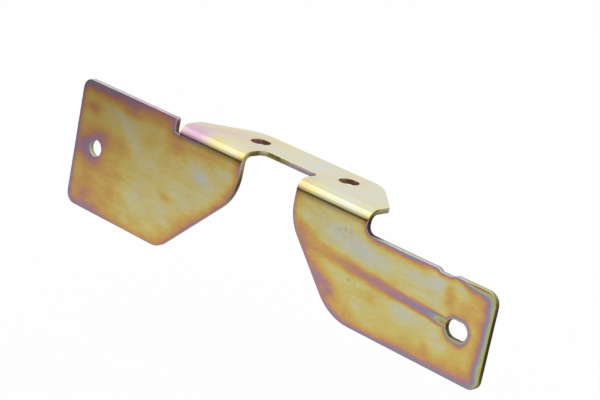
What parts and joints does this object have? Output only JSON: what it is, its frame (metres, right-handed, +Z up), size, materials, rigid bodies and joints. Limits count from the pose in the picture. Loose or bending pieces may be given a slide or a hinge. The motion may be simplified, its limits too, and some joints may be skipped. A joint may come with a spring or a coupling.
{
  "type": "stamped metal bracket",
  "caption": "Folded sheet bracket: a bolted bridge flange with two broad wings bent down from it, a window between the wings, a round hole in one wing and a slot in the other",
  "frame": {"origin": "On the top face of the bridge flange, halfway between its two bolt holes", "axes": "+X along the fold towards the slotted wing, +Y from the wings to the back edge of the bridge, +Z up out of the bridge"},
  "size_m": [0.2526, 0.0328, 0.0622],
  "materials": {
    "plated_steel": "zinc plated sheet steel with an iridescent yellow chromate film"
  },
  "bodies": {
    "root": {"bracket": "plated_steel"}
  },
  "joints": []
}
